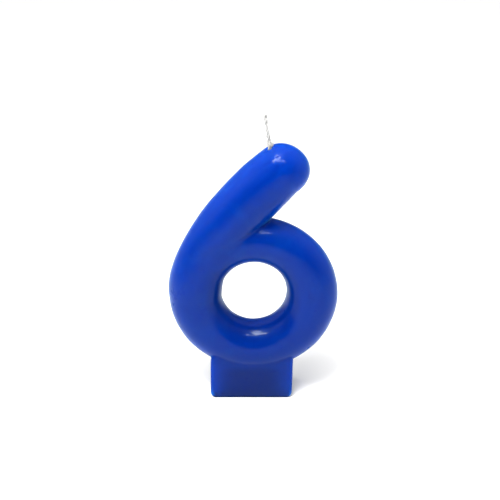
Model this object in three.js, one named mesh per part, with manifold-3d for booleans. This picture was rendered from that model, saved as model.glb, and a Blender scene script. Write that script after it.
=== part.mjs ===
// Number birthday candle: a moulded wax numeral "6" standing on a small block foot,
// with a three-yarn cotton wick let into the end of the stem.
// Millimetres, +Z up, the numeral reads correctly from -Y, origin under the middle of the foot.

import * as THREE from 'three';
import { mergeVertices } from 'three/addons/utils/BufferGeometryUtils.js';
import Module from 'manifold-3d';

// ---------------------------------------------------------------- driving dimensions (mm, degrees)

const DEG = Math.PI / 180;

// Section of every stroke: an oval, a little shallower front to back than it is wide.
const DEPTH_RATIO = 0.95;

// Bowl of the 6: a round ring in the XZ plane.
const BOWL_X = 0.07;
const BOWL_Z = 31.26;
const BOWL_A = 16.36; // half width of the centreline
const BOWL_B = 16.36; // half height of the centreline
const BOWL_TILT = 3.81 * DEG; // start of the angle that the half width is counted from
// Stroke half width round the bowl: mean, then first and second harmonics of the angle.
const BOWL_R = { mean: 7.016, c1: -0.097, s1: -0.369, c2: 0.234, s2: -0.089 };

// Stem: a cubic curve from the middle of the round end down into the left of the bowl.
const STEM_TOP_X = 7.196;
const STEM_TOP_Z = 67.795;
const STEM_TOP_ANGLE = 44.70 * DEG; // below level, running to the left
const STEM_TOP_REACH = 33.40;
const STEM_FOOT_ANGLE = 170.08 * DEG; // place on the bowl where the stem has become the ring
const STEM_FOOT_REACH = 6.574;
const STEM_R = [7.205, 9.485, 4.346, 7.978]; // half width controls from the end downwards
const NOSE_REACH = 2.306; // the round end runs on level to the right by this much,
const NOSE_R = 5.453; // thinning to this half width
const STEM_BURY = 0.12; // how far the lower end sits inside the ring's skin

// Foot block, as wide as the bowl needs to stand.
const FOOT_LEFT = -12.24;
const FOOT_RIGHT = 11.14;
const FOOT_DEPTH = 11.0;
const FOOT_TOP = 14.0; // before the saddle is cut
const FOOT_CORNER = 1.1;
const FOOT_BEVEL = 0.7;
const SADDLE_GAP = 0.25;

// Wick: three yarns laid up together, let straight down into the end of the stem.
const YARNS = 3;
const YARN_R = 0.25;
const LAY_R = 0.30; // distance of each yarn from the wick's axis
const LAY_PITCH = 4.2; // length of one full turn
const YARN_SIDES = 8;
const YARN_STEP = 0.36;
const WICK_EXIT_X = 4.25; // where the wick leaves the wax
const WICK_Y = -0.80; // the wick stands a little in front of the middle
const WICK_EXIT_Z = 74.30;
const WICK_BURIED = 17.0; // length inside the wax
const WICK_PIVOT_1 = [4.22, 75.15]; // x, z of the bend just over the wax
const WICK_PIVOT_2 = [3.56, 79.15]; // x, z of the bend half way up
const WICK_TIP = [3.19, 83.42]; // x, z of the cut end
const BEND_GAP = 0.28; // each side of a bend

// Hole that the wick is let into, with its small dished mouth.
const BORE_R = 0.80;
const MOUTH_R = 1.25;
const MOUTH_DEPTH = 0.75;

// Facets.
const SIDES = 32;
const RING_STEPS = 88;
const STEM_STEPS = 34;
const CAP_STEPS = 10;

const WAX = { color: 0x0a3fb5, roughness: 0.28, metalness: 0.0 };
const COTTON = { color: 0xe9e7e0, roughness: 0.85, metalness: 0.0 };

// ---------------------------------------------------------------- solids

const wasm = await Module();
wasm.setup();

function toSolid(geometry) {
  const g = geometry.clone();
  g.deleteAttribute('normal');
  g.deleteAttribute('uv');
  const m = mergeVertices(g, 1e-5);
  const positions = Float32Array.from(m.attributes.position.array);
  const index = m.index.array;
  const tris = [];
  for (let i = 0; i < index.length; i += 3) {
    const [a, b, c] = [index[i], index[i + 1], index[i + 2]];
    if (a !== b && b !== c && c !== a) tris.push(a, b, c);
  }
  return new wasm.Manifold(new wasm.Mesh({
    numProp: 3,
    vertProperties: positions,
    triVerts: Uint32Array.from(tris),
  }));
}

function toGeometry(solid) {
  const mesh = solid.getMesh();
  const g = new THREE.BufferGeometry();
  const n = mesh.vertProperties.length / mesh.numProp;
  const p = new Float32Array(n * 3);
  for (let i = 0; i < n; i++) {
    for (let k = 0; k < 3; k++) p[3 * i + k] = mesh.vertProperties[mesh.numProp * i + k];
  }
  g.setAttribute('position', new THREE.BufferAttribute(p, 3));
  g.setIndex(new THREE.BufferAttribute(Uint32Array.from(mesh.triVerts), 1));
  g.computeVertexNormals();
  return g;
}

// ---------------------------------------------------------------- bowl

function bowlPoint(t) {
  const x = BOWL_A * Math.cos(t);
  const z = BOWL_B * Math.sin(t);
  const c = Math.cos(BOWL_TILT);
  const s = Math.sin(BOWL_TILT);
  return new THREE.Vector2(BOWL_X + x * c - z * s, BOWL_Z + x * s + z * c);
}

function bowlTangent(t) {
  const x = -BOWL_A * Math.sin(t);
  const z = BOWL_B * Math.cos(t);
  const c = Math.cos(BOWL_TILT);
  const s = Math.sin(BOWL_TILT);
  return new THREE.Vector2(x * c - z * s, x * s + z * c).normalize();
}

function bowlRadius(t) {
  return BOWL_R.mean + BOWL_R.c1 * Math.cos(t) + BOWL_R.s1 * Math.sin(t)
    + BOWL_R.c2 * Math.cos(2 * t) + BOWL_R.s2 * Math.sin(2 * t);
}

// A unit torus is carried onto the oval ring; grow thickens the stroke evenly.
function bowlGeometry(grow) {
  const g = new THREE.TorusGeometry(1, 0.25, SIDES, RING_STEPS);
  const p = g.attributes.position;
  for (let i = 0; i < p.count; i++) {
    const x = p.getX(i);
    const y = p.getY(i);
    const z = p.getZ(i);
    const t = Math.atan2(y, x);
    const across = (Math.hypot(x, y) - 1) / 0.25;
    const back = z / 0.25;
    const centre = bowlPoint(t);
    const tangent = bowlTangent(t);
    const r = bowlRadius(t) + grow;
    // outward normal of the centreline in the XZ plane
    const nx = tangent.y;
    const nz = -tangent.x;
    p.setXYZ(i, centre.x + nx * r * across, -(bowlRadius(t) * DEPTH_RATIO + grow) * back, centre.y + nz * r * across);
  }
  return g;
}

// ---------------------------------------------------------------- stem

const stemFoot = bowlPoint(STEM_FOOT_ANGLE);
const stemFootTangent = bowlTangent(STEM_FOOT_ANGLE);
const stemCurve = new THREE.CubicBezierCurve(
  new THREE.Vector2(STEM_TOP_X, STEM_TOP_Z),
  new THREE.Vector2(
    STEM_TOP_X - STEM_TOP_REACH * Math.cos(STEM_TOP_ANGLE),
    STEM_TOP_Z - STEM_TOP_REACH * Math.sin(STEM_TOP_ANGLE),
  ),
  new THREE.Vector2(
    stemFoot.x - STEM_FOOT_REACH * stemFootTangent.x,
    stemFoot.y - STEM_FOOT_REACH * stemFootTangent.y,
  ),
  stemFoot,
);

function stemRadius(t) {
  const u = 1 - t;
  const end = bowlRadius(STEM_FOOT_ANGLE);
  const bury = STEM_BURY * THREE.MathUtils.smoothstep(t, 0.55, 0.9);
  return u ** 4 * STEM_R[0] + 4 * u ** 3 * t * STEM_R[1] + 6 * u * u * t * t * STEM_R[2]
    + 4 * u * t ** 3 * STEM_R[3] + t ** 4 * end - bury;
}

// A straight capsule is bent along the stem's curve, from its round end downwards.
function stemGeometry() {
  const half = 1;
  const g = new THREE.CapsuleGeometry(1, 2 * half, CAP_STEPS, SIDES, STEM_STEPS);
  const p = g.attributes.position;
  for (let i = 0; i < p.count; i++) {
    const side = p.getX(i);
    const along = p.getY(i);
    const back = p.getZ(i);
    const t = THREE.MathUtils.clamp((half - along) / (2 * half), 0, 1);
    const over = along > half ? along - half : along < -half ? along + half : 0;
    const centre = stemCurve.getPoint(t);
    const tangent = stemCurve.getTangent(t);
    let r = stemRadius(t);
    // the way this point of the skin faces, before the section is made oval
    const facingX = -tangent.x * over + tangent.y * side;
    const facingZ = -tangent.y * over - tangent.x * side;
    let reach = 0;
    if (over > 0 && facingX > (STEM_R[0] - NOSE_R) / NOSE_REACH) {
      reach = NOSE_REACH;
      r = NOSE_R;
    }
    p.setXYZ(i, centre.x + reach + facingX * r, back * r * DEPTH_RATIO, centre.y + facingZ * r);
  }
  return g;
}

function orient(geometry) {
  // turns a carried mesh right side out when the mapping has mirrored it
  const index = geometry.index.array;
  const p = geometry.attributes.position;
  let volume = 0;
  const a = new THREE.Vector3();
  const b = new THREE.Vector3();
  const c = new THREE.Vector3();
  for (let i = 0; i < index.length; i += 3) {
    a.fromBufferAttribute(p, index[i]);
    b.fromBufferAttribute(p, index[i + 1]);
    c.fromBufferAttribute(p, index[i + 2]);
    volume += a.dot(b.cross(c)) / 6;
  }
  if (volume < 0) {
    for (let i = 0; i < index.length; i += 3) {
      const k = index[i + 1];
      index[i + 1] = index[i + 2];
      index[i + 2] = k;
    }
  }
  return geometry;
}

// ---------------------------------------------------------------- wick hole

function boreSolid() {
  // one turned tool: a round-ended drill with a dished mouth, standing on the wick's exit
  const top = 4;
  const profile = [
    new THREE.Vector2(0, -WICK_BURIED - 0.6),
    new THREE.Vector2(BORE_R * 0.6, -WICK_BURIED - 0.5),
    new THREE.Vector2(BORE_R, -WICK_BURIED - 0.1),
    new THREE.Vector2(BORE_R, -MOUTH_DEPTH - 0.55),
    new THREE.Vector2(MOUTH_R * 0.78, -MOUTH_DEPTH),
    new THREE.Vector2(MOUTH_R, 0),
    new THREE.Vector2(MOUTH_R * 1.35, 1.0),
    new THREE.Vector2(MOUTH_R * 1.35, top),
    new THREE.Vector2(0, top),
  ];
  const g = new THREE.LatheGeometry(profile, 20);
  g.rotateX(Math.PI / 2); // lathe axis Y to Z
  g.translate(WICK_EXIT_X, WICK_Y, WICK_EXIT_Z);
  return toSolid(orient(g));
}

const bowl = toSolid(orient(bowlGeometry(0)));
const stem = toSolid(orient(stemGeometry()));
const numeral = bowl.add(stem).subtract(boreSolid());

// ---------------------------------------------------------------- foot

function footSolid() {
  const w = FOOT_RIGHT - FOOT_LEFT - 2 * FOOT_BEVEL;
  const d = FOOT_DEPTH - 2 * FOOT_BEVEL;
  const r = FOOT_CORNER;
  const s = new THREE.Shape();
  s.moveTo(-w / 2 + r, -d / 2);
  s.lineTo(w / 2 - r, -d / 2);
  s.quadraticCurveTo(w / 2, -d / 2, w / 2, -d / 2 + r);
  s.lineTo(w / 2, d / 2 - r);
  s.quadraticCurveTo(w / 2, d / 2, w / 2 - r, d / 2);
  s.lineTo(-w / 2 + r, d / 2);
  s.quadraticCurveTo(-w / 2, d / 2, -w / 2, d / 2 - r);
  s.lineTo(-w / 2, -d / 2 + r);
  s.quadraticCurveTo(-w / 2, -d / 2, -w / 2 + r, -d / 2);
  const g = new THREE.ExtrudeGeometry(s, {
    depth: FOOT_TOP - 2 * FOOT_BEVEL,
    curveSegments: 5,
    steps: 1,
    bevelEnabled: true,
    bevelThickness: FOOT_BEVEL,
    bevelSize: FOOT_BEVEL,
    bevelSegments: 4,
  });
  g.translate((FOOT_LEFT + FOOT_RIGHT) / 2, 0, FOOT_BEVEL);
  const block = toSolid(g);
  const saddle = toSolid(orient(bowlGeometry(SADDLE_GAP)));
  const cut = block.subtract(saddle);
  // whatever the cut leaves standing inside the ring's opening is not foot
  const parts = cut.decompose().sort((a, b) => b.volume() - a.volume());
  return parts[0];
}

const foot = footSolid();

// ---------------------------------------------------------------- yarns

class YarnCurve extends THREE.Curve {
  // a yarn turning about the straight axis from a to b, carrying on from a given lay angle
  constructor(a, b, phase, travelled) {
    super();
    this.a = a;
    this.b = b;
    this.phase = phase;
    this.travelled = travelled;
    this.axis = new THREE.Vector3().subVectors(b, a);
    this.length = this.axis.length();
    this.axis.normalize();
    this.u = new THREE.Vector3(0, 1, 0);
    this.v = new THREE.Vector3().crossVectors(this.axis, this.u).normalize();
  }

  getPoint(t, target = new THREE.Vector3()) {
    const s = t * this.length;
    const w = this.phase + (2 * Math.PI * (this.travelled + s)) / LAY_PITCH;
    return target.copy(this.a)
      .addScaledVector(this.axis, s)
      .addScaledVector(this.u, LAY_R * Math.cos(w))
      .addScaledVector(this.v, LAY_R * Math.sin(w));
  }
}

function yarnGeometry(a, b, phase, travelled) {
  const s = new THREE.Shape();
  for (let i = 0; i < YARN_SIDES; i++) {
    const w = (2 * Math.PI * i) / YARN_SIDES;
    const x = YARN_R * Math.cos(w);
    const y = YARN_R * Math.sin(w);
    if (i === 0) s.moveTo(x, y);
    else s.lineTo(x, y);
  }
  s.closePath();
  const path = new YarnCurve(a, b, phase, travelled);
  const steps = Math.max(4, Math.round(path.length / YARN_STEP));
  const g = new THREE.ExtrudeGeometry(s, { steps, extrudePath: path, bevelEnabled: false });
  return toGeometry(toSolid(orient(mergeVertices((() => {
    const k = g.clone();
    k.deleteAttribute('normal');
    k.deleteAttribute('uv');
    return k;
  })(), 1e-5))));
}

const at = ([x, z]) => new THREE.Vector3(x, WICK_Y, z);
const buriedEnd = new THREE.Vector3(WICK_EXIT_X, WICK_Y, WICK_EXIT_Z - WICK_BURIED);
const bend1 = at(WICK_PIVOT_1);
const bend2 = at(WICK_PIVOT_2);
const tip = at(WICK_TIP);

function toward(from, to, distance) {
  return new THREE.Vector3().subVectors(to, from).normalize().multiplyScalar(distance).add(from);
}

const buriedTop = new THREE.Vector3(WICK_EXIT_X, WICK_Y, bend1.z - BEND_GAP);
const rootStart = toward(bend1, bend2, BEND_GAP);
const rootEnd = toward(bend2, bend1, BEND_GAP);
const tipStart = toward(bend2, tip, BEND_GAP);

// ---------------------------------------------------------------- assembly

const candle = new THREE.Group();
const waxMaterial = new THREE.MeshStandardMaterial(WAX);
const cottonMaterial = new THREE.MeshStandardMaterial(COTTON);

function add(parent, name, geometry, material) {
  const mesh = new THREE.Mesh(geometry, material);
  mesh.name = name;
  parent.add(mesh);
  return mesh;
}

add(candle, 'wax_numeral', toGeometry(numeral), waxMaterial);
add(candle, 'wax_foot', toGeometry(foot), waxMaterial.clone());

const wickBuried = new THREE.Group();
const wickRoot = new THREE.Group();
const wickTip = new THREE.Group();
candle.add(wickBuried, wickRoot, wickTip);

for (let k = 0; k < YARNS; k++) {
  const phase = (2 * Math.PI * k) / YARNS;
  const l0 = buriedEnd.distanceTo(buriedTop);
  const l1 = l0 + 2 * BEND_GAP;
  const l2 = l1 + rootStart.distanceTo(rootEnd) + 2 * BEND_GAP;
  add(wickBuried, `wick_yarn_${k + 1}_buried`, yarnGeometry(buriedEnd, buriedTop, phase, 0), cottonMaterial.clone());
  add(wickRoot, `wick_yarn_${k + 1}_root`, yarnGeometry(rootStart, rootEnd, phase, l1), cottonMaterial.clone());
  add(wickTip, `wick_yarn_${k + 1}_tip`, yarnGeometry(tipStart, tip, phase, l2), cottonMaterial.clone());
}

export default candle;
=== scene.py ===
import math

import bmesh
import bpy
import numpy as np
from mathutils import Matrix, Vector


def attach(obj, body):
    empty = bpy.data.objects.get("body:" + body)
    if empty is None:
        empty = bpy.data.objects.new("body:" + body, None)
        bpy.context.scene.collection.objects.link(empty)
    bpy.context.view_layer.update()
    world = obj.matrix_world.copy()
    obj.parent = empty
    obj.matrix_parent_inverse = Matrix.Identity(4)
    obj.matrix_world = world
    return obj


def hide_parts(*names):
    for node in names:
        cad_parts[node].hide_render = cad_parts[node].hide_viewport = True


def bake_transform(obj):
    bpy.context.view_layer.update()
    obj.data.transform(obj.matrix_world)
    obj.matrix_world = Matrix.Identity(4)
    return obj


# ------------------------------------------------------------------ the CAD frame

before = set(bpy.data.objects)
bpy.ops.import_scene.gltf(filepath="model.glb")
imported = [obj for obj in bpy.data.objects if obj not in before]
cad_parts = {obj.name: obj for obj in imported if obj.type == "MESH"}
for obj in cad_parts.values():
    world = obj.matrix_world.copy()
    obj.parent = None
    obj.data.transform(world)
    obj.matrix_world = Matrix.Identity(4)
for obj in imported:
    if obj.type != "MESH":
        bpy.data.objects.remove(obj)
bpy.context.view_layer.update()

scene = bpy.context.scene
scene.view_settings.view_transform = "Standard"
scene.view_settings.look = "None"
scene.view_settings.exposure = 0.0
scene.view_settings.gamma = 1.0

MM = 0.001
RNG = np.random.default_rng(6)

# ------------------------------------------------------------------ camera

CAM_ELEV = math.radians(25.0)
CAM_DIST = 298.42 * MM
CAM_AIM = Vector((-0.959 * MM, 0.0, 44.28 * MM))

cam_data = bpy.data.cameras.new("camera")
cam_data.sensor_fit = "HORIZONTAL"
cam_data.sensor_width = 36.0
cam_data.lens = 36.0 * 1083.0 / 500.0
cam_data.clip_start = 0.01
cam_data.clip_end = 50.0
cam = bpy.data.objects.new("camera", cam_data)
scene.collection.objects.link(cam)
cam.location = CAM_AIM + Vector((0.0, -math.cos(CAM_ELEV), math.sin(CAM_ELEV))) * CAM_DIST
cam.rotation_euler = (math.pi / 2 - CAM_ELEV, 0.0, 0.0)
scene.camera = cam

# ------------------------------------------------------------------ the numeral's centrelines, in mm

DEPTH_RATIO = 0.95
BOWL = dict(x=0.07, z=31.26, a=16.36, b=16.36, tilt=math.radians(3.81))
BOWL_R = (7.016, -0.097, -0.369, 0.234, -0.089)
STEM_TOP = np.array([7.196, 67.795])
STEM_TOP_ANGLE = math.radians(44.70)
STEM_TOP_REACH = 33.40
STEM_FOOT_ANGLE = math.radians(170.08)
STEM_FOOT_REACH = 6.574
STEM_R = (7.205, 9.485, 4.346, 7.978)
NOSE_REACH, NOSE_R = 2.306, 5.60

FOOT_X = (-12.24, 11.14)
FOOT_Y = 5.5
FOOT_TOP = 14.0

WICK_EXIT = np.array([4.25, -0.80, 74.30])


def bowl_point(t):
    x, z = BOWL["a"] * np.cos(t), BOWL["b"] * np.sin(t)
    c, s = math.cos(BOWL["tilt"]), math.sin(BOWL["tilt"])
    return np.stack([BOWL["x"] + x * c - z * s, BOWL["z"] + x * s + z * c], -1)


def bowl_tangent(t):
    x, z = -BOWL["a"] * np.sin(t), BOWL["b"] * np.cos(t)
    c, s = math.cos(BOWL["tilt"]), math.sin(BOWL["tilt"])
    v = np.stack([x * c - z * s, x * s + z * c], -1)
    return v / np.linalg.norm(v, axis=-1, keepdims=True)


def bowl_radius(t):
    m, c1, s1, c2, s2 = BOWL_R
    return m + c1 * np.cos(t) + s1 * np.sin(t) + c2 * np.cos(2 * t) + s2 * np.sin(2 * t)


STEM_P3 = bowl_point(STEM_FOOT_ANGLE)
STEM_P1 = STEM_TOP - STEM_TOP_REACH * np.array([math.cos(STEM_TOP_ANGLE), math.sin(STEM_TOP_ANGLE)])
STEM_P2 = STEM_P3 - STEM_FOOT_REACH * bowl_tangent(STEM_FOOT_ANGLE)


def stem_point(t):
    t = np.asarray(t, float)[..., None]
    u = 1 - t
    return u**3 * STEM_TOP + 3 * u * u * t * STEM_P1 + 3 * u * t * t * STEM_P2 + t**3 * STEM_P3


def stem_radius(t):
    u = 1 - t
    return (
        u**4 * STEM_R[0] + 4 * u**3 * t * STEM_R[1] + 6 * u * u * t * t * STEM_R[2]
        + 4 * u * t**3 * STEM_R[3] + t**4 * bowl_radius(STEM_FOOT_ANGLE)
    )


# ------------------------------------------------------------------ distance functions

RING_T = np.linspace(0, 2 * math.pi, 760, endpoint=False)
RING_C, RING_RR = bowl_point(RING_T), bowl_radius(RING_T)
STEM_T = np.linspace(0, 1, 420)
NOSE_S = np.linspace(1, 0, 41)[:-1]
STEM_C = np.concatenate([STEM_TOP + np.stack([NOSE_S * NOSE_REACH, 0 * NOSE_S], -1), stem_point(STEM_T)])
STEM_RR = np.concatenate([STEM_R[0] + (NOSE_R - STEM_R[0]) * NOSE_S**1.5, stem_radius(STEM_T)])


def swept(p, centres, radii):
    """Distance to a round stroke whose section is an oval, and its gradient."""
    q = p.copy()
    q[:, 1] /= DEPTH_RATIO
    best = np.full(len(p), 1e9)
    index = np.zeros(len(p), int)
    for a in range(0, len(p), 12000):
        x = q[a : a + 12000, 0:1].astype(np.float32) - centres[None, :, 0].astype(np.float32)
        z = q[a : a + 12000, 2:3].astype(np.float32) - centres[None, :, 1].astype(np.float32)
        y2 = (q[a : a + 12000, 1:2] ** 2).astype(np.float32)
        d = np.sqrt(x * x + z * z + y2) - radii[None, :].astype(np.float32)
        index[a : a + 12000] = d.argmin(1)
    c = centres[index]
    v = np.stack([q[:, 0] - c[:, 0], q[:, 1], q[:, 2] - c[:, 1]], -1)
    length = np.maximum(np.linalg.norm(v, axis=1), 1e-6)
    best = length - radii[index]
    g = v / length[:, None]
    g[:, 1] /= DEPTH_RATIO
    return best, g


def foot_distance(p):
    """Distance to the foot: square ends, small rounded edges, rounder bottom corners."""
    # its sides lean out very slightly towards the top
    left = FOOT_X[0] - 0.06 + 0.012 * p[:, 2]
    right = FOOT_X[1] - 0.11 + 0.020 * p[:, 2]
    cx, hx = 0.5 * (left + right), 0.5 * (right - left)
    # the block runs on below the table and is cut flat there, so its bottom edge is crisper
    below = 0.2
    hz = (FOOT_TOP + below) / 2
    corner, edge = 2.0, 0.55
    x = np.abs(p[:, 0] - cx) - (hx - corner)
    z = np.abs(p[:, 2] + below - hz) - (hz - corner)
    flat = np.hypot(np.maximum(x, 0), np.maximum(z, 0)) + np.minimum(np.maximum(x, z), 0) - corner
    deep = np.abs(p[:, 1]) - FOOT_Y - 0.25
    a, b = flat + edge, deep + edge
    return np.hypot(np.maximum(a, 0), np.maximum(b, 0)) + np.minimum(np.maximum(a, b), 0) - edge


def gradient(f, p, h=0.01):
    g = np.zeros_like(p)
    for k in range(3):
        e = np.zeros(3)
        e[k] = h
        g[:, k] = (f(p + e) - f(p - e)) / (2 * h)
    return g


def join(a, ga, b, gb, k):
    """Smooth union of two distances, with a fillet of about k."""
    h = np.clip(0.5 + 0.5 * (b - a) / k, 0, 1)
    d = b * (1 - h) + a * h - k * h * (1 - h)
    return d, gb * (1 - h)[:, None] + ga * h[:, None]


def carve(a, ga, b, gb, k):
    """Smooth subtraction of b from a."""
    d, g = join(-a, -ga, b, gb, k)
    return -d, -g


def waves(p, seed, count, low, high):
    """A smooth bounded noise made of a few seeded plane waves, wavelengths low to high mm."""
    r = np.random.default_rng(seed)
    total = np.zeros(len(p))
    for _ in range(count):
        v = r.normal(size=3)
        v /= np.linalg.norm(v)
        wavelength = r.uniform(low, high)
        total += np.sin(p @ (v * 2 * math.pi / wavelength) + r.uniform(0, 6.28))
    return total / math.sqrt(count / 2)


SURFACE_UP = np.array([-0.394, -0.123, 0.911])  # the wax's normal where the wick leaves it
PIT = np.array([6.10, -4.52, 73.20])  # a burst bubble in the skin on the stem's end
PIT_UP = np.array([-0.13, -0.68, 0.72])


def flat_cut(d, g, p):
    """Cut flat at the table, with the dish sunk in it."""
    u = ((p[:, 0] + 0.55) / 8.6) ** 2 + (p[:, 1] / 3.2) ** 2
    dish = 0.40 * np.clip(1 - u, 0, 1) ** 2
    down = dish - p[:, 2]
    g_down = np.zeros_like(g)
    g_down[:, 2] = -1.0
    return np.maximum(d, down), np.where((down > d)[:, None], g_down, g)


def wax_distance(p):
    ring, g_ring = swept(p, RING_C, RING_RR)
    stem, g_stem = swept(p, STEM_C, STEM_RR)
    d, g = join(ring, g_ring, stem, g_stem, 0.9)
    foot = foot_distance(p)
    d, g = join(d, g, foot, gradient(foot_distance, p), 0.30)
    # the small well that the wick stands in, with a faint raised lip of wax round it
    v = p - (WICK_EXIT + SURFACE_UP * 0.55)
    r = np.maximum(np.linalg.norm(v * np.array([1.0, 1.0, 1.0]), axis=1), 1e-6)
    lip = 0.16 * np.exp(-(((r - 1.45) / 0.42) ** 2))
    near = np.abs(v @ SURFACE_UP + 0.55) < 2.0
    d = d - np.where(near, lip, 0.0)
    d, g = carve(d, g, r - 1.02, v / r[:, None], 0.35)
    # the burst bubble: a pit with a soft raised rim
    v = p - PIT
    r = np.linalg.norm(v - (v @ PIT_UP)[:, None] * PIT_UP, axis=1)
    near = np.abs(v @ PIT_UP) < 2.0
    d = d + np.where(near, 0.10 * np.exp(-((r / 0.27) ** 2)) - 0.015 * np.exp(-(((r - 0.7) / 0.4) ** 2)), 0.0)
    # a shrinkage dish under the foot, where the wax was poured
    d, g = flat_cut(d, g, p)
    # the faint unevenness of a cast skin
    skin = 0.030 * waves(p, 11, 10, 9.0, 20.0) + 0.009 * waves(p, 12, 12, 3.2, 6.5)
    keep = np.clip(p[:, 2] / 1.2, 0, 1)
    d = d - skin * keep
    return d, g


# ------------------------------------------------------------------ mesh helpers


def new_mesh(name, co, faces, scale=MM):
    me = bpy.data.meshes.new(name)
    me.from_pydata((np.asarray(co) * scale).tolist(), [], [list(map(int, f)) for f in faces])
    me.validate()
    me.update()
    return me


def new_object(name, co, faces, scale=MM, smooth=True):
    me = new_mesh(name, co, faces, scale)
    if smooth:
        me.shade_smooth()
    ob = bpy.data.objects.new(name, me)
    scene.collection.objects.link(ob)
    return ob


def grid_faces(rows, cols, close_rows=False, offset=0, flip=False):
    faces = []
    for i in range(rows if close_rows else rows - 1):
        for j in range(cols):
            a = offset + i * cols + j
            b = offset + i * cols + (j + 1) % cols
            c = offset + ((i + 1) % rows) * cols + (j + 1) % cols
            e = offset + ((i + 1) % rows) * cols + j
            faces.append((a, e, c, b) if flip else (a, b, c, e))
    return faces


def tube(points, radii, sides=8, closed=False, depth=None, caps=True):
    """A closed tube along points (n, 3), as vertices and faces."""
    points = np.asarray(points, float)
    n = len(points)
    radii = np.broadcast_to(np.asarray(radii, float), (n,))
    if closed:
        tangent = np.roll(points, -1, 0) - np.roll(points, 1, 0)
    else:
        tangent = np.gradient(points, axis=0)
    tangent /= np.maximum(np.linalg.norm(tangent, axis=1, keepdims=True), 1e-12)
    up = np.array([0.0, 1.0, 0.0])
    if abs(tangent[0] @ up) > 0.9:
        up = np.array([1.0, 0.0, 0.0])
    u = np.cross(tangent[0], up)
    u /= np.linalg.norm(u)
    rows = []
    for i in range(n):
        u = u - tangent[i] * (u @ tangent[i])
        u /= np.linalg.norm(u)
        v = np.cross(tangent[i], u)
        a = np.linspace(0, 2 * math.pi, sides, endpoint=False)
        rows.append(points[i] + radii[i] * (np.cos(a)[:, None] * u + np.sin(a)[:, None] * v))
    co = np.concatenate(rows)
    faces = grid_faces(n, sides, closed)
    if caps and not closed:
        faces.append(tuple(reversed(range(sides))))
        faces.append(tuple(range((n - 1) * sides, n * sides)))
    return co, faces


def gather(pieces):
    co, faces, n = [], [], 0
    for c, f in pieces:
        co.append(c)
        faces += [tuple(i + n for i in face) for face in f]
        n += len(c)
    return np.concatenate(co), faces


# ------------------------------------------------------------------ the wax body


def wax_seed():
    """Overlapping plain strokes and a block, for the remesh to join."""
    t = np.linspace(0, 2 * math.pi, 160, endpoint=False)
    c = bowl_point(t)
    ring = tube(np.stack([c[:, 0], 0 * t, c[:, 1]], -1), bowl_radius(t), 28, closed=True)
    t = np.linspace(0, 1, 70)
    c = stem_point(t)
    r = stem_radius(t)
    line = np.stack([c[:, 0], 0 * t, c[:, 1]], -1)
    out = line[0] - line[1]
    out /= np.linalg.norm(out)
    cap_a = np.linspace(math.pi / 2 - 0.05, 0.08, 10)
    cap_line = line[0] + out * (np.sin(cap_a) * r[0])[:, None]
    cap_r = np.cos(cap_a) * r[0]
    stem = tube(np.concatenate([cap_line, line]), np.concatenate([cap_r, r]), 28)
    x0, x1 = FOOT_X
    y, z1 = FOOT_Y, FOOT_TOP
    block = np.array([[x, s, z] for z in (0.0, z1) for s in (-y, y) for x in (x0, x1)], float)
    faces = [(0, 2, 3, 1), (4, 5, 7, 6), (0, 1, 5, 4), (2, 6, 7, 3), (0, 4, 6, 2), (1, 3, 7, 5)]
    return gather([ring, stem, (block, faces)])


def remeshed(ob, voxel):
    m = ob.modifiers.new("remesh", "REMESH")
    m.mode = "VOXEL"
    m.voxel_size = voxel
    m.adaptivity = 0.0
    deps = bpy.context.evaluated_depsgraph_get()
    me = bpy.data.meshes.new_from_object(ob.evaluated_get(deps))
    co = np.empty(len(me.vertices) * 3)
    me.vertices.foreach_get("co", co)
    loops = np.empty(len(me.loops), int)
    me.loops.foreach_get("vertex_index", loops)
    edges = np.empty(len(me.edges) * 2, int)
    me.edges.foreach_get("vertices", edges)
    bpy.data.meshes.remove(me)
    bpy.data.objects.remove(ob)
    return co.reshape(-1, 3), loops.reshape(-1, 4), edges.reshape(-1, 2)


def relax(co, edges, amount):
    total = np.zeros_like(co)
    count = np.zeros(len(co))
    for a, b in ((0, 1), (1, 0)):
        for k in range(3):
            total[:, k] += np.bincount(edges[:, a], weights=co[edges[:, b], k], minlength=len(co))
        count += np.bincount(edges[:, a], minlength=len(co))
    return co + amount * (total / count[:, None] - co)


def build_wax():
    seed_co, seed_faces = wax_seed()
    seed = new_object("seed", seed_co, seed_faces, scale=1.0, smooth=False)
    co, quads, edges = remeshed(seed, 0.31)

    def settle(co, steps):
        for _ in range(steps):
            d, g = wax_distance(co)
            co = co - np.clip(d, -0.5, 0.5)[:, None] * g / np.maximum((g * g).sum(1), 0.2)[:, None]
        return co

    co = settle(co, 2)
    for _ in range(3):
        co = relax(co, edges, 0.6)
        co = settle(co, 1)
    co = settle(co, 2)
    # a finer mesh round the wick's well and the burst bubble, where the shape is small
    bm = bmesh.new()
    plain = new_mesh("plain", co, quads, 1.0)
    bm.from_mesh(plain)
    bpy.data.meshes.remove(plain)
    fine = []
    for e in bm.edges:
        middle = np.array((e.verts[0].co + e.verts[1].co) * 0.5)
        if np.linalg.norm(middle - WICK_EXIT) < 2.4 or np.linalg.norm(middle - PIT) < 1.9:
            fine.append(e)
    bmesh.ops.subdivide_edges(bm, edges=fine, cuts=2, use_grid_fill=True)
    co = np.array([v.co[:] for v in bm.verts])
    near = (np.linalg.norm(co - WICK_EXIT, axis=1) < 3.0) | (np.linalg.norm(co - PIT, axis=1) < 2.4)
    co[near] = settle(co[near], 3)
    co[:, 2] = np.maximum(co[:, 2], 0.0)
    for v, c in zip(bm.verts, co * MM):
        v.co = c
    ob = new_object("wax_body", np.zeros((0, 3)), [])
    bm.to_mesh(ob.data)
    bm.free()
    ob.data.shade_smooth()
    return ob


# ------------------------------------------------------------------ material helpers


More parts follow.
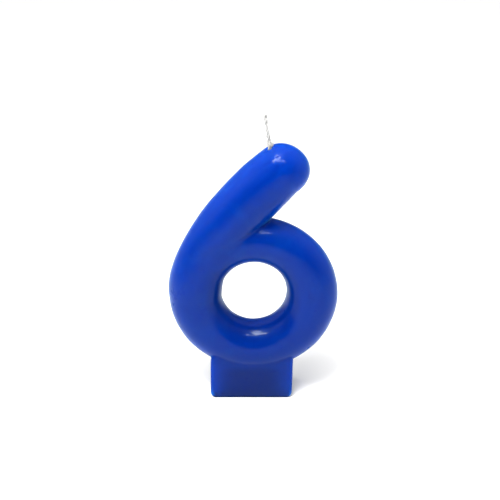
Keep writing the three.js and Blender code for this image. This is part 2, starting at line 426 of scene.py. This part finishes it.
def material(name):
    m = bpy.data.materials.new(name)
    m.use_nodes = True
    nt = m.node_tree
    nt.nodes.clear()
    out = nt.nodes.new("ShaderNodeOutputMaterial")
    bsdf = nt.nodes.new("ShaderNodeBsdfPrincipled")
    nt.links.new(bsdf.outputs[0], out.inputs[0])
    return m, nt, bsdf


def node(nt, kind, **settings):
    n = nt.nodes.new(kind)
    for k, v in settings.items():
        setattr(n, k, v)
    return n


def coords(nt):
    return node(nt, "ShaderNodeTexCoord").outputs["Object"]


def noise(nt, vector, scale, detail=2.0, rough=0.5, distortion=0.0):
    n = node(nt, "ShaderNodeTexNoise")
    n.inputs["Scale"].default_value = scale
    n.inputs["Detail"].default_value = detail
    n.inputs["Roughness"].default_value = rough
    n.inputs["Distortion"].default_value = distortion
    nt.links.new(vector, n.inputs["Vector"])
    return n.outputs["Fac"]


def ramp(nt, value, stops, interpolation="LINEAR"):
    r = node(nt, "ShaderNodeValToRGB")
    r.color_ramp.interpolation = interpolation
    e = r.color_ramp.elements
    while len(e) > 1:
        e.remove(e[-1])
    e[0].position, e[0].color = stops[0][0], (*stops[0][1], 1) if len(stops[0][1]) == 3 else stops[0][1]
    for pos, col in stops[1:]:
        k = e.new(pos)
        k.color = (*col, 1) if len(col) == 3 else col
    nt.links.new(value, r.inputs["Fac"])
    return r.outputs["Color"]


def grey(v):
    return (v, v, v)


def maths(nt, op, a, b=None, clamp=False):
    n = node(nt, "ShaderNodeMath", operation=op, use_clamp=clamp)
    for i, v in enumerate((a, b)):
        if v is None:
            continue
        if isinstance(v, (int, float)):
            n.inputs[i].default_value = v
        else:
            nt.links.new(v, n.inputs[i])
    return n.outputs[0]


def mix_rgb(nt, fac, a, b, blend="MIX"):
    n = node(nt, "ShaderNodeMix", data_type="RGBA", blend_type=blend)
    for key, v in (("Factor", fac), ("A", a), ("B", b)):
        sock = [s for s in n.inputs if s.name == key and s.enabled][0]
        if isinstance(v, (int, float)):
            sock.default_value = v
        elif isinstance(v, tuple):
            sock.default_value = (*v, 1.0) if len(v) == 3 else v
        else:
            nt.links.new(v, sock)
    return [s for s in n.outputs if s.enabled][0]


def bump(nt, height, strength, distance, normal=None):
    b = node(nt, "ShaderNodeBump")
    b.inputs["Strength"].default_value = strength
    b.inputs["Distance"].default_value = distance
    nt.links.new(height, b.inputs["Height"])
    if normal is not None:
        nt.links.new(normal, b.inputs["Normal"])
    return b.outputs["Normal"]


# ------------------------------------------------------------------ wax

WAX_COLOR = (0.0001, 0.0185, 0.214)
WAX_DEEP = (0.0001, 0.0168, 0.199)
# the dark blue that the painted shade mixes into the wax
WAX_PAINTED_SHADE = (0.0002, 0.0060, 0.094)
WAX_BLOOM = (0.01, 0.17, 0.62)


def wax_material():
    m, nt, bsdf = material("royal_blue_wax")
    p = coords(nt)
    cloud = noise(nt, p, 55.0, 3.0, 0.55)
    base = mix_rgb(nt, ramp(nt, cloud, [(0.35, grey(0.0)), (0.68, grey(1.0))]), WAX_COLOR, WAX_DEEP)
    # a faint whitish bloom lies in thin clouds on the skin
    veil = noise(nt, p, 120.0, 5.0, 0.62, 0.4)
    veil_f = maths(nt, "MULTIPLY", ramp(nt, veil, [(0.50, grey(0.0)), (0.78, grey(1.0))]), 0.05)
    base = mix_rgb(nt, veil_f, base, WAX_BLOOM)
    # painted shade: the wax is darkened in the foot's middle, less towards its side edges and its very bottom, and
    # round the inside of the bowl, where less light reaches it
    place = node(nt, "ShaderNodeSeparateXYZ")
    nt.links.new(p, place.inputs[0])
    x, z = place.outputs["X"], place.outputs["Z"]
    low = ramp(nt, maths(nt, "DIVIDE", z, 0.020), [(0.0, grey(0.86)), (0.12, grey(1.0)), (0.40, grey(1.0)), (0.62, grey(0.0))], "EASE")
    side = maths(nt, "DIVIDE", maths(nt, "ABSOLUTE", maths(nt, "ADD", x, 0.00055)), 0.0117)
    middle = ramp(nt, side, [(0.0, grey(1.0)), (0.35, grey(0.95)), (1.0, grey(0.25))], "EASE")
    dx, dz = maths(nt, "SUBTRACT", x, 0.00007), maths(nt, "SUBTRACT", z, 0.03126)
    from_axis = maths(nt, "SQRT", maths(nt, "ADD", maths(nt, "MULTIPLY", dx, dx), maths(nt, "MULTIPLY", dz, dz)))
    inside = ramp(nt, maths(nt, "DIVIDE", from_axis, 0.020), [(0.45, grey(1.0)), (0.80, grey(0.0))], "EASE")
    deep = maths(nt, "MAXIMUM", maths(nt, "MULTIPLY", maths(nt, "MULTIPLY", low, middle), 0.80), maths(nt, "MULTIPLY", inside, 0.75))
    # and a painted shade that darkens the wax towards the bottom, where less light falls
    painted_low_shade = ramp(nt, maths(nt, "DIVIDE", z, 0.080), [(0.20, grey(0.30)), (0.85, grey(0.0))])
    deep = maths(nt, "MAXIMUM", deep, painted_low_shade)
    # mix the painted shade into the base colour
    base = mix_rgb(nt, deep, base, WAX_PAINTED_SHADE)
    nt.links.new(base, bsdf.inputs["Base Color"])
    rough = ramp(nt, noise(nt, p, 160.0, 4.0, 0.6), [(0.3, grey(0.26)), (0.72, grey(0.36))])
    nt.links.new(rough, bsdf.inputs["Roughness"])
    bsdf.inputs["IOR"].default_value = 1.44
    bsdf.inputs["Specular IOR Level"].default_value = 0.04
    bsdf.inputs["Specular Tint"].default_value = (0.2, 1.0, 1.0, 1.0)
    bsdf.inputs["Sheen Weight"].default_value = 0.11
    bsdf.inputs["Sheen Roughness"].default_value = 0.35
    bsdf.inputs["Sheen Tint"].default_value = (0.1, 1.0, 1.0, 1.0)
    bsdf.inputs["Subsurface Weight"].default_value = 1.0
    bsdf.inputs["Subsurface Radius"].default_value = (0.3, 0.9, 1.0)
    bsdf.inputs["Subsurface Scale"].default_value = 0.024
    bsdf.inputs["Coat Weight"].default_value = 0.21
    bsdf.inputs["Coat Roughness"].default_value = 0.13
    bsdf.inputs["Coat IOR"].default_value = 1.44
    # orange-peel skin, tiny bubbles and the moulding's parting line
    peel = noise(nt, p, 620.0, 3.0, 0.55)
    n1 = bump(nt, peel, 0.10, 0.00006)
    cells = node(nt, "ShaderNodeTexVoronoi", feature="F1")
    cells.inputs["Scale"].default_value = 170.0
    cells.inputs["Randomness"].default_value = 1.0
    nt.links.new(p, cells.inputs["Vector"])
    pits = ramp(nt, cells.outputs["Distance"], [(0.0, grey(0.0)), (0.075, grey(0.75)), (0.13, grey(1.0))], "EASE")
    n2 = bump(nt, pits, 0.12, 0.00005, n1)
    split = node(nt, "ShaderNodeSeparateXYZ")
    nt.links.new(p, split.inputs[0])
    wander = maths(nt, "MULTIPLY", maths(nt, "SUBTRACT", noise(nt, p, 90.0, 2.0), 0.5), 0.0003)
    off = maths(nt, "ABSOLUTE", maths(nt, "ADD", split.outputs["Y"], wander))
    ridge = ramp(nt, maths(nt, "DIVIDE", off, 0.0006), [(0.0, grey(1.0)), (0.35, grey(0.45)), (1.0, grey(0.0))], "EASE")
    strength = ramp(nt, noise(nt, p, 130.0, 2.0), [(0.35, grey(0.25)), (0.7, grey(1.0))])
    n3 = bump(nt, maths(nt, "MULTIPLY", ridge, strength), 0.5, 0.00009, n2)
    nt.links.new(n3, bsdf.inputs["Normal"])
    nt.links.new(n3, bsdf.inputs["Coat Normal"])
    return m


wax = build_wax()
wax.data.materials.append(wax_material())
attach(wax, "candle")
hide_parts("wax_numeral", "wax_foot")

# ------------------------------------------------------------------ the wick

# The wick's axis in mm, from inside the wax to the cut end.
AXIS = np.array([
    [4.25, -0.8, 70.0], [4.25, -0.8, 71.6], [4.25, -0.8, 73.0], [4.23, -0.82, 74.0], [4.24, -0.82, 74.8],
    [4.22, -0.8, 75.7], [4.05, -0.8, 76.6], [3.82, -0.8, 77.6], [3.63, -0.8, 78.6], [3.45, -0.8, 79.7],
    [3.32, -0.8, 80.6], [3.21, -0.8, 81.5], [3.10, -0.8, 82.5], [3.02, -0.8, 83.45],
])
CUT_Z = 77.1


def spline(points, n):
    """Centripetal-like smooth resampling of a polyline (Catmull-Rom)."""
    p = np.vstack([2 * points[0] - points[1], points, 2 * points[-1] - points[-2]])
    segments = len(points) - 1
    out = []
    for s in np.linspace(0, segments, n):
        i = min(int(s), segments - 1)
        t = s - i
        a, b, c, d = p[i], p[i + 1], p[i + 2], p[i + 3]
        out.append(0.5 * ((2 * b) + (c - a) * t + (2 * a - 5 * b + 4 * c - d) * t * t + (3 * b - a - 3 * c + d) * t**3))
    return np.array(out)


AXIS_FINE = spline(AXIS, 150)


def frame_along(line):
    tangent = np.gradient(line, axis=0)
    tangent /= np.linalg.norm(tangent, axis=1, keepdims=True)
    v = np.array([0.0, 1.0, 0.0])
    u = np.cross(v, tangent)
    u /= np.linalg.norm(u, axis=1, keepdims=True)
    w = np.cross(tangent, u)
    return tangent, u, w


def bump_at(z, centre, width):
    return np.exp(-(((z - centre) / width) ** 2))


# How each yarn strays from the lay where the wick leaves the wax: (offset in mm, height, spread).
STRAY = {
    0: [((-0.06, -0.60, 0.0), 74.95, 0.85)],
    1: [((-0.50, 0.02, 0.0), 76.10, 0.66), ((-0.25, 0.0, 0.0), 74.90, 0.6)],
    2: [((0.70, 0.10, 0.0), 75.35, 0.70)],
}


def yarn_line(k):
    """Axis of yarn k: laid round the wick, drawn thin below the tip and opened out at the wax."""
    tangent, u, w = frame_along(AXIS_FINE)
    z = AXIS_FINE[:, 2]
    turn = 2 * math.pi * (z - 70.0) / 4.4 + 2 * math.pi * k / 3 + 0.5
    lay = 0.245 + 0.03 * np.sin(z * 2.1 + k)
    lay = lay - 0.13 * bump_at(z, 80.1, 0.9) + 0.06 * bump_at(z, 77.1, 0.7)
    offset = lay[:, None] * (np.cos(turn)[:, None] * u + np.sin(turn)[:, None] * w)
    loose = bump_at(z, 75.5, 0.9)
    line = AXIS_FINE + offset * (1 - 0.75 * loose)[:, None]
    for away, height, spread in STRAY[k]:
        line = line + np.array(away)[None, :] * bump_at(z, height, spread)[:, None]
    return line


def yarn_mesh(k, low, high, name):
    line = yarn_line(k)
    keep = (line[:, 2] >= low) & (line[:, 2] <= high)
    line = line[keep]
    z = line[:, 2]
    tangent, u, w = frame_along(line)
    pieces = []
    plies = 6
    r = np.random.default_rng(40 + k)
    thick = 0.088 * (1 - 0.25 * bump_at(z, 80.1, 0.9) + 0.55 * bump_at(z, 75.8, 1.1))
    for j in range(plies):
        phase = 2 * math.pi * j / plies
        turn = phase - 2 * math.pi * (z - 70.0) / 1.55
        out = 0.125 + 0.02 * np.sin(z * (2.3 + 0.3 * j) + j) - 0.03 * bump_at(z, 80.1, 0.9)
        out = out + r.uniform(0.05, 0.20) * bump_at(z, r.uniform(74.9, 76.0), 0.7)
        if j == 0:
            out = out * 0.2
        top = np.clip((z - 82.6) / 0.7, 0, 1)
        out = out * (1 + 0.9 * top * r.uniform(0.3, 1.0))
        pts = line + out[:, None] * (np.cos(turn)[:, None] * u + np.sin(turn)[:, None] * w)
        pts[:, 2] += top * r.uniform(-0.12, 0.12)
        pieces.append(tube(pts, thick * r.uniform(0.9, 1.08), 7))
    return new_object(name, *gather(pieces))


def fuzz_mesh(low, high, count, seed, name):
    """Loose fibres that stand off the yarns."""
    r = np.random.default_rng(seed)
    pieces = []
    lines = [yarn_line(k) for k in range(3)]
    for _ in range(count):
        line = lines[r.integers(3)]
        inside = np.where((line[:, 2] > low) & (line[:, 2] < high))[0]
        start = line[r.choice(inside)]
        angle = r.uniform(0, 2 * math.pi)
        out = np.array([math.cos(angle), math.sin(angle), r.uniform(-0.4, 1.2)])
        out /= np.linalg.norm(out)
        curl = r.normal(size=3) * 0.35
        length = r.uniform(0.25, 0.75)
        s = np.linspace(0, 1, 6)[:, None]
        pts = start + out * s * length + curl * s * s * length + np.array([0, 0, 0.15]) * s
        pieces.append(tube(pts, np.linspace(0.013, 0.006, 6), 4))
    return new_object(name, *gather(pieces))


def cotton_material():
    m, nt, bsdf = material("cotton_wick")
    p = coords(nt)
    split = node(nt, "ShaderNodeSeparateXYZ")
    nt.links.new(p, split.inputs[0])
    height = maths(nt, "DIVIDE", maths(nt, "SUBTRACT", split.outputs["Z"], 0.0738), 0.0030)
    clean = mix_rgb(nt, ramp(nt, noise(nt, p, 2600.0, 3.0, 0.6), [(0.3, grey(0.0)), (0.7, grey(1.0))]),
                    (0.34, 0.34, 0.332), (0.44, 0.44, 0.432))
    waxed = mix_rgb(nt, ramp(nt, noise(nt, p, 1500.0, 3.0, 0.6), [(0.3, grey(0.0)), (0.7, grey(1.0))]),
                    (0.35, 0.315, 0.245), (0.43, 0.41, 0.37))
    colour = mix_rgb(nt, ramp(nt, height, [(0.0, grey(0.0)), (0.45, grey(0.6)), (1.0, grey(1.0))], "EASE"), waxed, clean)
    nt.links.new(colour, bsdf.inputs["Base Color"])
    bsdf.inputs["Roughness"].default_value = 0.72
    bsdf.inputs["Specular IOR Level"].default_value = 0.35
    bsdf.inputs["Sheen Weight"].default_value = 0.25
    bsdf.inputs["Sheen Roughness"].default_value = 0.5
    bsdf.inputs["Subsurface Weight"].default_value = 0.25
    bsdf.inputs["Subsurface Radius"].default_value = (1.0, 0.9, 0.8)
    bsdf.inputs["Subsurface Scale"].default_value = 0.0002
    streak = node(nt, "ShaderNodeMapping")
    streak.inputs["Scale"].default_value = (1.0, 1.0, 0.22)
    nt.links.new(p, streak.inputs["Vector"])
    fibres = noise(nt, streak.outputs[0], 9000.0, 2.0, 0.6)
    nt.links.new(bump(nt, fibres, 0.5, 0.00002), bsdf.inputs["Normal"])
    return m


cotton = cotton_material()
axis_mid = AXIS_FINE[np.abs(AXIS_FINE[:, 2] - CUT_Z).argmin()]
for k in range(3):
    lower = yarn_mesh(k, 71.0, CUT_Z + 0.06, f"yarn_{k + 1}_lower")
    upper = yarn_mesh(k, CUT_Z - 0.06, 84.0, f"yarn_{k + 1}_upper")
    for ob in (lower, upper):
        ob.data.materials.append(cotton)
    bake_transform(lower)
    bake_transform(upper)
    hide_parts(f"wick_yarn_{k + 1}_root")
    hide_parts(f"wick_yarn_{k + 1}_tip")
    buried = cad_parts[f"wick_yarn_{k + 1}_buried"]
    buried.data.materials.clear()
    buried.data.materials.append(cotton)

fuzz_low = fuzz_mesh(75.9, CUT_Z, 16, 5, "wick_fuzz_lower")
fuzz_high = fuzz_mesh(CUT_Z, 83.3, 60, 6, "wick_fuzz_upper")
for ob, pair in ((fuzz_low, ("candle", "wick_root")), (fuzz_high, ("wick_root", "wick_tip"))):
    ob.data.materials.append(cotton)
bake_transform(fuzz_low)
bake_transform(fuzz_high)

# ------------------------------------------------------------------ floor, world and lights

floor = new_object("floor", np.array([[-3000, -3000, -0.02], [3000, -3000, -0.02], [3000, 3000, -0.02], [-3000, 3000, -0.02]], float), [(0, 1, 2, 3)], smooth=False)
fm, fnt, fb = material("pale_floor")
fb.inputs["Base Color"].default_value = (0.90, 0.90, 0.888, 1.0)
fb.inputs["Roughness"].default_value = 0.9
fb.inputs["Specular IOR Level"].default_value = 0.1
floor.data.materials.append(fm)


def compass(azimuth, elevation):
    """A direction: azimuth 0 is behind the object, 90 to its right, as the camera sees it."""
    az, el = math.radians(azimuth), math.radians(elevation)
    return Vector((math.sin(az) * math.cos(el), math.cos(az) * math.cos(el), math.sin(el)))


def world_light(lobes):
    """A plain white studio surround: broad soft lobes of light, each (azimuth, elevation, radiance)."""
    w = bpy.data.worlds.new("studio")
    scene.world = w
    w.use_nodes = True
    nt = w.node_tree
    nt.nodes.clear()
    out = nt.nodes.new("ShaderNodeOutputWorld")
    bg = nt.nodes.new("ShaderNodeBackground")
    nt.links.new(bg.outputs[0], out.inputs[0])
    tc = nt.nodes.new("ShaderNodeTexCoord")
    total = None
    for azimuth, elevation, radiance in lobes:
        dot = node(nt, "ShaderNodeVectorMath", operation="DOT_PRODUCT")
        nt.links.new(tc.outputs["Generated"], dot.inputs[0])
        dot.inputs[1].default_value = compass(azimuth, elevation)
        near = maths(nt, "ADD", maths(nt, "MULTIPLY", dot.outputs["Value"], 0.5), 0.5)
        lobe = maths(nt, "MULTIPLY", maths(nt, "POWER", near, 12.0), radiance)
        total = lobe if total is None else maths(nt, "ADD", total, lobe)
    # seen directly, the surround is the plain white backdrop
    seen = node(nt, "ShaderNodeLightPath").outputs["Is Camera Ray"]
    unseen = maths(nt, "SUBTRACT", 1.0, seen)
    nt.links.new(maths(nt, "ADD", maths(nt, "MULTIPLY", total, unseen), seen), bg.inputs["Strength"])
    bg.inputs["Color"].default_value = (1.0, 1.0, 1.0, 1.0)
    return w


def area(name, location, target, size, radiance, spread=180.0):
    data = bpy.data.lights.new(name, "AREA")
    data.shape = "RECTANGLE"
    data.size, data.size_y = size
    data.energy = radiance * math.pi * size[0] * size[1]
    data.spread = math.radians(spread)
    ob = bpy.data.objects.new(name, data)
    scene.collection.objects.link(ob)
    ob.location = location
    direction = Vector(target) - Vector(location)
    ob.rotation_euler = direction.to_track_quat("-Z", "Y").to_euler()
    return ob


world_light([
    (288, 10, 0.80), (90, 10, 1.10), (300, 50, 0.9), (60, 50, 0.7), (240, 50, 0.7), (0, 90, 1.75),
])
AIM = Vector((0, 0, 0.04))
for name, azimuth, elevation, distance, size, radiance in (
    ("key", -152, 76, 0.24, (0.12, 0.12), 2.8),
    ("strip", -172, 57, 0.26, (0.187, 0.0325), 17.0),
    ("window", -156, 65, 0.26, (0.095, 0.095), 27.0),
    ("lamp", -138, 50, 0.26, (0.042, 0.042), 30.0),
    ("left", -103, 27, 0.25, (0.12, 0.12), 0.8),
):
    area(name, AIM + compass(azimuth, elevation) * distance, AIM, size, radiance)
